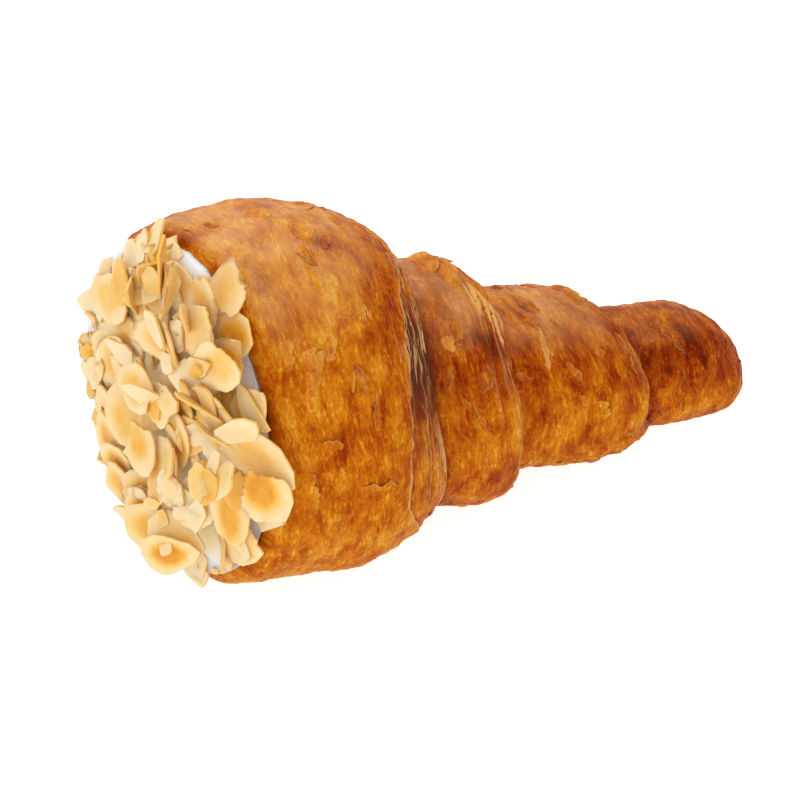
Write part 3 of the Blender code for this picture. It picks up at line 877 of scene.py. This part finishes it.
def crust_paint():
    """Egg-glazed, laminated crust: flecked brown and gold, pale flake edges, and a painted sheen on
    top.
    """
    paint = Paint("baked_crust_look")
    place = paint.place()
    wound = paint.attribute("wound")
    lip = paint.attribute("from_lip")
    strip = paint.node("ShaderNodeCombineXYZ", {}, wound, lip, 0.0)
    patch = paint.noise(place, 7 * MM, 3.0, 0.55)
    sheets = paint.noise(strip, (6.5, 3.6, 1.0), 2.0, 0.45, 0.1)
    streaks = paint.noise(strip, (5.5, 1.2, 1.0), 2.0, 0.5, 0.1)
    small = paint.noise(strip, (2.6, 0.8, 1.0), 2.0, 0.55, 0.1)
    fleck = paint.noise(place, 0.9 * MM, 2.0, 0.6)
    grain = paint.noise(place, 0.3 * MM, 2.0, 0.6)
    threads = paint.noise(strip, (13.0, 0.75, 1.0), 2.0, 0.5, 0.3)
    layered = paint.attribute("threads")
    bared = paint.attribute("bared")
    steps = 0.0
    rims = 0.0
    for edge in (0.38, 0.47, 0.56):
        step = sheets.between(edge - 0.025, edge + 0.025)
        steps = steps + step * 0.333
        rims = rims + step * (1 - sheets.between(edge + 0.03, edge + 0.07))
    golden = small.between(0.45, 0.33) * fleck.between(0.60, 0.42)
    toast = paint.attribute("toast")
    brown = toast + (patch - 0.5) * 0.5 + (0.5 - steps) * 0.26
    brown = brown + (streaks - 0.5) * 0.26 + (small - 0.5) * 0.45
    brown = brown + (fleck - 0.5) * 0.30 + (grain - 0.5) * 0.15
    brown = brown + (threads - 0.5) * layered * 1.0
    brown = brown - golden * 0.16 - rims * patch.between(0.62, 0.42) * 0.12
    color = paint.ramp(
        brown.held(),
        [
            (0.00, (0.70, 0.330, 0.040)),
            (0.20, (0.60, 0.215, 0.010)),
            (0.40, (0.49, 0.130, 0.003)),
            (0.58, (0.38, 0.072, 0.002)),
            (0.78, (0.26, 0.030, 0.001)),
            (1.00, (0.11, 0.009, 0.001)),
        ],
    )
    # Painted shade: the dark band is mixed towards near black-brown, except where the threads show.
    hidden = bared * (1 - threads.between(0.50, 0.66) * 0.65)
    color = paint.mix(color, (0.10, 0.022, 0.009), hidden)
    lines = layered * threads.between(0.56, 0.63)
    # Painted sheen: the upper side's colour is mixed towards pale as a painted highlight; its coat
    # is real gloss.
    upper = paint.attribute("wash")
    rim = paint.attribute("edge") * (0.20 + small * 0.65)
    # Pale flake edges and threads are the dough's own colour; the share from the upper side is
    # painted sheen.
    pale = (rim + lines * 0.55 + upper * (fleck + 0.1) * 0.46).held()
    color = paint.mix(color, (0.80, 0.49, 0.20), pale)
    relief = steps * 0.35 + fleck * 0.25 + grain * 0.05 + small * 0.35 + streaks * 0.3
    relief = relief + threads * layered * 0.6
    return paint.finish(
        Base_Color=color,
        Roughness=(0.50 + (fleck - 0.5) * 0.4 + (grain - 0.5) * 0.2).held(),
        Specular_IOR_Level=0.02,
        Coat_Weight=(upper * (0.08 + fleck * 0.4)).held(),
        Coat_Roughness=0.3,
        Normal=paint.bump(relief, 0.4 * MM),
    )


def almond_paint():
    """Sliced almond: waxy and pale at its rim, golden in the middle, its cut walls darker gold as
    painted shade.
    """
    paint = Paint("sliced_almond_look")
    place = paint.place()
    cloud = paint.noise(place, 3.0 * MM, 3.0, 0.55)
    grain = paint.noise(place, 0.45 * MM, 2.0, 0.5)
    gold = (paint.attribute("gold") + (cloud - 0.5) * 0.6 + (grain - 0.5) * 0.10).held()
    color = paint.ramp(
        gold,
        [
            (0.00, (0.84, 0.66, 0.38)),
            (0.25, (0.83, 0.58, 0.24)),
            (0.50, (0.82, 0.49, 0.11)),
            (0.75, (0.77, 0.37, 0.030)),
            (1.00, (0.64, 0.23, 0.012)),
        ],
    )
    # Painted shade: the slices' cut walls are painted a darker gold, for the golden shade lines
    # between them.
    color = paint.mix(color, (0.80, 0.43, 0.07), paint.attribute("wall") * 0.8)
    skin = (paint.attribute("skin") * cloud.between(0.35, 0.6)).held()
    color = paint.mix(color, (0.46, 0.19, 0.05), skin)
    return paint.finish(
        Base_Color=color,
        Roughness=(0.42 + (grain - 0.5) * 0.3).held(),
        Specular_IOR_Level=0.3,
        Subsurface_Weight=0.25,
        Subsurface_Radius=(1.0, 0.8, 0.5),
        Subsurface_Scale=0.001,
        Normal=paint.bump(cloud * 0.8 + grain * 0.25, 0.25 * MM),
    )


def cream_paint():
    """Whipped cream: soft, white and a little warm, painted golden where it shows between the
    almonds.
    """
    paint = Paint("whipped_cream_look")
    place = paint.place()
    cloud = paint.noise(place, 4.0 * MM, 4.0, 0.55)
    color = paint.mix((0.98, 0.96, 0.92), (0.96, 0.90, 0.78), cloud.between(0.40, 0.80))
    # Painted shade: golden inside the rim, where the cream shows only in the gaps between the
    # almonds.
    color = paint.mix(color, (0.93, 0.72, 0.34), paint.attribute("oiled") * 0.85)
    return paint.finish(
        Base_Color=color,
        Roughness=(0.45 + (cloud - 0.5) * 0.2).held(),
        Subsurface_Weight=1.0,
        Subsurface_Radius=(1.0, 0.9, 0.75),
        Subsurface_Scale=0.008,
        Normal=paint.bump(cloud, 0.5 * MM),
    )


def copy_of_node(name, new_name):
    """A CAD node's mesh as a new piece, its loose triangles merged."""
    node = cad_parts[name]
    piece = node.copy()
    piece.data = node.data.copy()
    piece.name = new_name
    piece.parent = None
    bpy.context.scene.collection.objects.link(piece)
    piece.matrix_world = node.matrix_world.copy()
    place_in_mesh(piece)
    only(piece)
    bpy.ops.object.mode_set(mode="EDIT")
    bpy.ops.mesh.select_all(action="SELECT")
    bpy.ops.mesh.remove_doubles(threshold=MERGE_REACH)
    bpy.ops.mesh.tris_convert_to_quads()
    bpy.ops.object.mode_set(mode="OBJECT")
    return piece


def flat_disc(points, rings):
    """A filled disc of radius 1 with rings of points, to be shaped into a slice or a chip."""
    deselect_all()
    bpy.ops.mesh.primitive_circle_add(vertices=points, radius=1, fill_type="NGON")
    disc = bpy.context.object
    bpy.ops.object.mode_set(mode="EDIT")
    bpy.ops.mesh.select_all(action="SELECT")
    for _ in range(rings - 1):
        bpy.ops.mesh.inset(thickness=1 / rings, use_even_offset=False)
    bpy.ops.mesh.poke()
    bpy.ops.object.mode_set(mode="OBJECT")
    return disc


def copy_of(piece, name):
    """Another of the piece, with its own mesh."""
    made = piece.copy()
    made.data = piece.data.copy()
    made.name = name
    bpy.context.scene.collection.objects.link(made)
    return made


def waver(angle, seed, lobes):
    """A gentle unevenness round a rim."""
    return np.array(
        [noise.noise(Vector((math.cos(a) * lobes, math.sin(a) * lobes, seed))) for a in angle]
    )


def reach_of(flat, angle):
    """How far the outline of these flat points reaches from the middle at each angle."""
    facing = np.linspace(0, math.tau, 180, endpoint=False)
    support = (flat @ np.array((np.cos(facing), np.sin(facing)))).max(axis=0)
    turned = np.cos(angle[:, None] - facing[None, :])
    return np.where(turned > 0.1, support / np.maximum(turned, 0.1), np.inf).min(axis=1)


class Slice:
    """An almond slice's middle, its long, wide and outward directions, and its bend."""

    def __init__(self, points):
        self.middle = points.mean(axis=0)
        _, axes = np.linalg.eigh(np.cov((points - self.middle).T))
        self.long, self.wide, self.out = axes[:, 2], axes[:, 1], axes[:, 0]
        if self.out @ ALONG > 0:
            self.out = -self.out
        self.wide = np.cross(self.out, self.long)
        local = (points - self.middle) @ np.array((self.long, self.wide, self.out)).T
        self.flat = local[:, :2]
        self.bend = np.linalg.lstsq(self.terms(self.flat), local[:, 2], rcond=None)[0]

    def terms(self, flat):
        """The parts that the bend is a sum of."""
        a, b = flat.T
        return np.stack((np.ones(len(a)), a, b, a * a, a * b, b * b), axis=1)

    def place(self, flat, height):
        """Points in space from points on the slice and heights over its bent middle."""
        height = height + self.terms(flat) @ self.bend
        across = np.outer(flat[:, 0], self.long) + np.outer(flat[:, 1], self.wide)
        return self.middle + across + np.outer(height, self.out)


def shape_slice(piece, shape, dice, broken):
    """A thin, slightly wavy slice with a ragged rim and a golden middle, from the flat disc."""
    disc = points_of(piece)
    share = np.hypot(disc[:, 0], disc[:, 1])
    angle = np.arctan2(disc[:, 1], disc[:, 0])
    seed = dice.uniform(0, 50)
    reach = reach_of(shape.flat, angle) * (1.0 + 0.03 * waver(angle, seed, 2.0))
    pointed = np.maximum(np.cos(angle) * dice.choice((-1, 1)), 0)
    reach = reach * (1 - dice.uniform(0.05, 0.30) * pointed * np.abs(np.sin(angle)))
    for _ in range(broken):
        facing = dice.choice((0, math.pi)) + dice.uniform(-1.2, 1.2)
        depth = dice.uniform(0.58, 0.90) * reach_of(shape.flat, np.array([facing]))[0]
        turned = np.cos(angle - facing)
        jagged = depth * (1 + 0.12 * waver(angle, seed + 3, 6.0) + 0.10 * waver(angle, seed, 15.0))
        cut = np.where(turned > 0.1, jagged / np.maximum(turned, 0.1), np.inf)
        reach = np.minimum(reach, cut)
    reach = reach - 0.12 * MM * np.abs(waver(angle, seed + 8, 6.0))
    flat = np.stack((np.cos(angle), np.sin(angle)), axis=1) * (reach * share)[:, None]
    wave = noise_at(flat[:, 0] / (4.5 * MM), flat[:, 1] / (4.5 * MM), seed)
    set_points(piece, held_inside(shape.place(flat, 0.25 * MM * wave)))
    length, width = np.abs(shape.flat).max(axis=0)
    strength = dice.choice((0.25, 0.35, 0.5, 0.65, 0.8))
    off = dice.uniform(-0.15, 0.15)
    heart = np.hypot(flat[:, 0] / length / 0.85 - off, flat[:, 1] / width / 0.82)
    gold = 0.12 + strength * (1 - smooth((heart - 0.35) / 0.62))
    paint_points(piece, "gold", gold)
    bare = dice.uniform(0, math.tau)
    skinned = dice.choice((0, 0, 0.8, 1)) * smooth(np.cos(angle - bare) * 2 + 0.6)
    paint_points(piece, "skin", smooth((share - 0.9) / 0.1) * skinned)


def thicken(piece, thickness, round_off):
    """Gives a sheet its thickness and softens its edges. The faces of its cut wall are marked."""
    sheet = len(piece.data.polygons)
    apply_modifier(piece, "SOLIDIFY", thickness=thickness, offset=0, use_even_offset=False)
    wall = piece.data.attributes.new("wall", "FLOAT", "FACE")
    wall.data.foreach_set("value", np.arange(len(piece.data.polygons)) >= 2 * sheet)
    if round_off:
        apply_modifier(
            piece, "BEVEL", width=round_off, segments=1, limit_method="ANGLE", angle_limit=1.0
        )
    piece.data.shade_smooth()
    piece.data.set_sharp_from_angle(angle=math.radians(60))


def finish_cream(piece):
    """Soft, uneven whipped cream from its plain solid, swelling out over the crust's rim."""
    apply_modifier(piece, "SUBSURF", levels=2, render_levels=2)
    places = points_of(piece)
    normals = np.empty(len(piece.data.vertices) * 3)
    piece.data.vertices.foreach_get("normal", normals)
    normals = normals.reshape(-1, 3)
    lump = np.array([noise.fractal(Vector(p) / (6 * MM), 0.8, 2.1, 3) for p in places])
    offset = places - np.array(Vector(in_horn(0.0, 0.0, 0.0)) - BOX_MIDDLE)
    depth = offset @ ALONG
    beside = offset - np.outer(depth, ALONG)
    radius = np.linalg.norm(beside, axis=1)
    outside = smooth((1.0 * MM - depth) / (4 * MM))
    lumpy = places + normals * ((0.5 * lump + 1.3) * MM * outside)[:, None]
    near_side = smooth(beside @ (SIDEWAYS * 0.9 - UPWARD * 0.4) / MOUTH_RADIUS * 1.5)
    swell = CREAM_SWELL * (0.15 + 0.85 * near_side) * (1 + 0.7 * lump)
    swell = swell * smooth((0.5 * MM - depth) / (2 * MM)) * (radius / MOUTH_RADIUS) ** 3
    lumpy += beside / np.maximum(radius, 1e-9)[:, None] * swell[:, None]
    set_points(piece, held_inside(lumpy))
    # Painted shade: the cream well inside the rim, seen only between the almonds, is marked to be
    # painted golden.
    paint_points(piece, "oiled", smooth((33 * MM - radius) / (5 * MM)))
    piece.data.shade_smooth()


def mouth_hit(trees, dice):
    """A random place on the filling's face, as (place, outward direction, what was hit)."""
    radius = 34 * MM * math.sqrt(dice.random())
    angle = dice.uniform(0, math.tau)
    if dice.random() < 0.5:
        angle = math.radians(dice.gauss(*dice.choice(CHIP_CLUSTERS)))
        widest = 34.5 + 3.0 * max(math.cos(angle - math.radians(35)), 0)
        radius = widest * MM * dice.random() ** 0.3
    start = Vector(in_horn(-30 * MM, radius, angle)) - BOX_MIDDLE
    mouth = Vector(in_horn(0.0, radius, angle)) - BOX_MIDDLE
    best = None
    for kind, tree in trees:
        place, normal, _, distance = tree.ray_cast(start, (mouth - start).normalized(), 50 * MM)
        if place is not None and (best is None or distance < best[3]):
            if normal @ (start - mouth) < 0:
                normal = -normal
            best = (place, normal, kind, distance)
    return best


def shape_chip(piece, place, normal, size, lean, dice):
    """A broken, straight-sided bit of sliced almond, half sunk where it fell."""
    disc = points_of(piece)
    share = np.hypot(disc[:, 0], disc[:, 1])
    angle = np.arctan2(disc[:, 1], disc[:, 0])
    reach = np.full(len(angle), size)
    sides = dice.choice((3, 4, 4, 5))
    first = dice.uniform(0, math.tau)
    for side in range(sides):
        facing = first + (side + dice.uniform(-0.3, 0.3)) * math.tau / sides
        turned = np.cos(angle - facing)
        depth = size * dice.uniform(0.35, 0.80)
        reach = np.minimum(reach, np.where(turned > 0.1, depth / np.maximum(turned, 0.1), np.inf))
    flat = np.stack((np.cos(angle), np.sin(angle) * dice.uniform(0.6, 1.0)), axis=1)
    flat = flat * (reach * share)[:, None]
    bow = dice.uniform(-0.12, 0.12) * (flat[:, 0] ** 2) / size
    turned = Matrix.Rotation(dice.uniform(0, math.tau), 3, "Z")
    leaned = Matrix.Rotation(lean, 3, "X")
    facing = normal.to_track_quat("Z", "Y").to_matrix()
    turn = np.array(facing @ Matrix.Rotation(dice.uniform(0, math.tau), 3, "Z") @ leaned @ turned)
    local = np.stack((flat[:, 0], flat[:, 1], bow), axis=1)
    centre = place + normal * (0.15 * MM + 0.22 * size * math.sin(lean))
    set_points(piece, local @ turn.T + np.array(centre))
    paint_points(piece, "gold", dice.choice((0.08, 0.18, 0.3, 0.45, 0.7)) - 0.15 * share)
    paint_points(piece, "skin", smooth((share - 0.9) / 0.1) * dice.choice((0, 0, 0, 0, 0, 0, 0.8)))


def strew_chips(trees, dice):
    """The broken almond as one mesh: chips and smaller crumbs, mostly in the gaps."""
    blank = flat_disc(14, 2)
    chips = []
    low, high = Vector(cad_box[0]), Vector(cad_box[1])
    while len(chips) < CHIPS:
        hit = mouth_hit(trees, dice)
        crumb = dice.random() < 0.18
        if hit is None or (hit[2] == "almond" and dice.random() < (0.95 if crumb else 0.85)):
            continue
        place, normal = hit[:2]
        size = dice.uniform(0.8, 1.7) * MM if crumb else dice.choice(CHIP_SIZES)
        room = min(place[0] - low[0], place[1] - low[1], high[1] - place[1], place[2])
        if room < size + 0.5 * MM:
            continue
        chip = copy_of(blank, "chip")
        lean = dice.uniform(0, 14) if dice.random() < 0.85 else dice.uniform(18, 50)
        shape_chip(chip, place, normal, size, math.radians(lean), dice)
        chips.append(chip)
    bpy.data.objects.remove(blank)
    piece = joined(chips, "almond_chips")
    thicken(piece, CHIP_THICKNESS, 0)
    return piece


def strew_crumbs(trees, dice):
    """Brown crumbs of crust on the filling, as one mesh."""
    deselect_all()
    bpy.ops.mesh.primitive_ico_sphere_add(subdivisions=2, radius=1, calc_uvs=False)
    blank = bpy.context.object
    crumbs = []
    while len(crumbs) < CRUMBS:
        hit = mouth_hit(trees, dice)
        if hit is None:
            continue
        crumb = copy_of(blank, "crumb")
        ball = points_of(crumb)
        seed = dice.uniform(0, 90)
        swells = [noise.noise(Vector(point) * 1.3 + Vector((seed, 0, 0))) for point in ball]
        rough = 1 + 0.7 * np.array(swells)
        size = np.array([dice.uniform(*span) for span in CRUMB_SIZES]) * MM
        turn = np.array(hit[1].to_track_quat("Z", "Y").to_matrix())
        centre = np.array(hit[0] + hit[1] * 0.12 * MM)
        set_points(crumb, held_inside((ball * rough[:, None] * size) @ turn.T + centre))
        paint_crust_points(crumb, toast=dice.uniform(0.3, 0.75), from_lip=30.0, wound=seed)
        crumbs.append(crumb)
    bpy.data.objects.remove(blank)
    piece = joined(crumbs, "crust_crumbs")
    piece.data.shade_smooth()
    return piece


def make_camera():
    """A long lens, looking down on the mouth's side."""
    level = math.cos(CAMERA_ELEVATION)
    back = Vector(
        (
            math.sin(CAMERA_AZIMUTH) * level,
            -math.cos(CAMERA_AZIMUTH) * level,
            math.sin(CAMERA_ELEVATION),
        )
    )
    aim = Vector((60.0, 0.0, 24.0)) * MM - BOX_MIDDLE
    data = bpy.data.cameras.new("camera")
    data.lens = CAMERA_LENS
    data.shift_x = -0.0606
    data.shift_y = -0.0125
    data.clip_start = 0.01
    camera = bpy.data.objects.new("camera", data)
    bpy.context.scene.collection.objects.link(camera)
    camera.location = aim + back * CAMERA_DISTANCE
    camera.rotation_mode = "QUATERNION"
    camera.rotation_quaternion = (-back).to_track_quat("-Z", "Y")
    bpy.context.scene.camera = camera


def soft_light(name, place, size, power):
    """A square softbox that points at the pastry."""
    data = bpy.data.lights.new(name, "AREA")
    data.shape = "SQUARE"
    data.size = size
    data.energy = power
    lamp = bpy.data.objects.new(name, data)
    bpy.context.scene.collection.objects.link(lamp)
    lamp.location = place
    lamp.rotation_mode = "QUATERNION"
    lamp.rotation_quaternion = Vector(place).to_track_quat("Z", "Y")


def make_studio():
    """A pale floor, a white room and soft lamps."""
    deselect_all()
    bpy.ops.mesh.primitive_plane_add(size=6, location=(0, 0, 0))
    floor = bpy.context.object
    floor.name = "floor"
    paint = Paint("pale_floor")
    floor.data.materials.append(
        paint.finish(
            Base_Color=(0.40, 0.40, 0.40),
            Roughness=0.9,
            Specular_IOR_Level=0.0,
            Emission_Color=(1.0, 1.0, 1.0),
            Emission_Strength=0.85,
        )
    )
    world = bpy.data.worlds.new("room")
    bpy.context.scene.world = world
    world.use_nodes = True
    background = world.node_tree.nodes["Background"]
    background.inputs["Color"].default_value = (1, 1, 1, 1)
    background.inputs["Strength"].default_value = 0.80
    for lamp in LAMPS:
        soft_light(*lamp)
    bpy.context.scene.view_settings.view_transform = "Standard"


def dress(piece, look):
    """The piece's material and slot, and the body that it moves with."""
    set_points(piece, np.clip(points_of(piece), cad_box[0], cad_box[1]))
    piece.data.materials.clear()
    piece.data.materials.append(look)
    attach(piece, "root")


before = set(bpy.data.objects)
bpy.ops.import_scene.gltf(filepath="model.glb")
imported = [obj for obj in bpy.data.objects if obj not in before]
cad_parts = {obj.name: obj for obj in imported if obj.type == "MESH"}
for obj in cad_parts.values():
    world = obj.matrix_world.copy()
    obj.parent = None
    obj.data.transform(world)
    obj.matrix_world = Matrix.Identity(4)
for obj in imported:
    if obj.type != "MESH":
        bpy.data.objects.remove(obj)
cad_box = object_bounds()
noise.seed_set(UNEVEN_SEED)
dice = random.Random(11)

crust_look = crust_paint()
almond_look = almond_paint()
cream_look = cream_paint()

crust = Crust()
baked_crust = wind_crust(crust)
dress(baked_crust, crust_look)
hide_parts("pastry")
dress(tear_layers(crust, dice), crust_look)

whipped_cream = copy_of_node("cream", "whipped_cream")
finish_cream(whipped_cream)
dress(whipped_cream, cream_look)
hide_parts("cream")

filling = [("cream", whipped_cream)]
slice_disc = flat_disc(56, 6)
for name in sorted(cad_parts):
    if name.startswith("almond_flake_"):
        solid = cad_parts[name]
        shape = Slice(np.unique(np.round(points_of(solid), 6), axis=0))
        piece = copy_of(slice_disc, name.replace("almond_flake", "sliced_almond"))
        shape_slice(piece, shape, dice, dice.choice((0, 1, 1, 2, 2)))
        thicken(piece, SLICE_THICKNESS, SLICE_ROUNDING)
        dress(piece, almond_look)
        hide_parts(name)
        filling.append(("almond", piece))
bpy.data.objects.remove(slice_disc)

graph = bpy.context.evaluated_depsgraph_get()
trees = [(kind, BVHTree.FromObject(piece, graph)) for kind, piece in filling]
dress(strew_chips(trees, dice), almond_look)
dress(strew_crumbs(trees, dice), crust_look)

make_camera()
make_studio()
